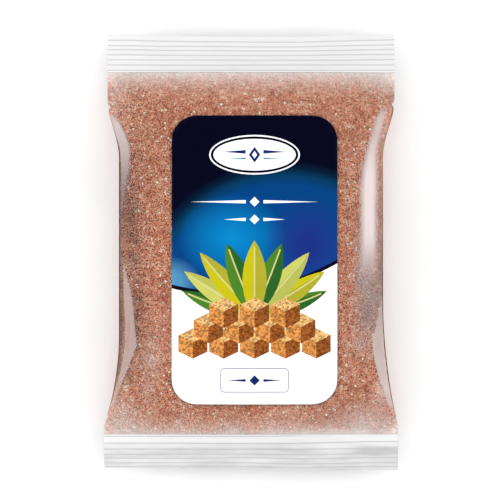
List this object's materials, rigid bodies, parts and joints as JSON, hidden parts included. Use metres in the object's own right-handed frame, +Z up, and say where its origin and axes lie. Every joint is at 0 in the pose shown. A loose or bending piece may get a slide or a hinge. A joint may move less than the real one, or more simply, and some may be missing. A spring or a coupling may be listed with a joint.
{
  "type": "pouch of sugar",
  "caption": "Clear pillow pouch filled with brown cane sugar, with crimped seals at both ends and a rounded label on its front, lying on its back.",
  "frame": {"origin": "on the surface that the pouch lies on, under the middle of its outline", "axes": "+X across the pouch to the right of its label, +Y towards its top seal, +Z up out of the label"},
  "size_m": [0.1366, 0.201, 0.0336],
  "materials": {
    "filled_film": "gloss",
    "sealed_film": "satin",
    "cane_sugar": "satin",
    "printed_label": "gloss"
  },
  "bodies": {
    "root": {"pouch": "filled_film", "label": "printed_label"}
  },
  "joints": []
}
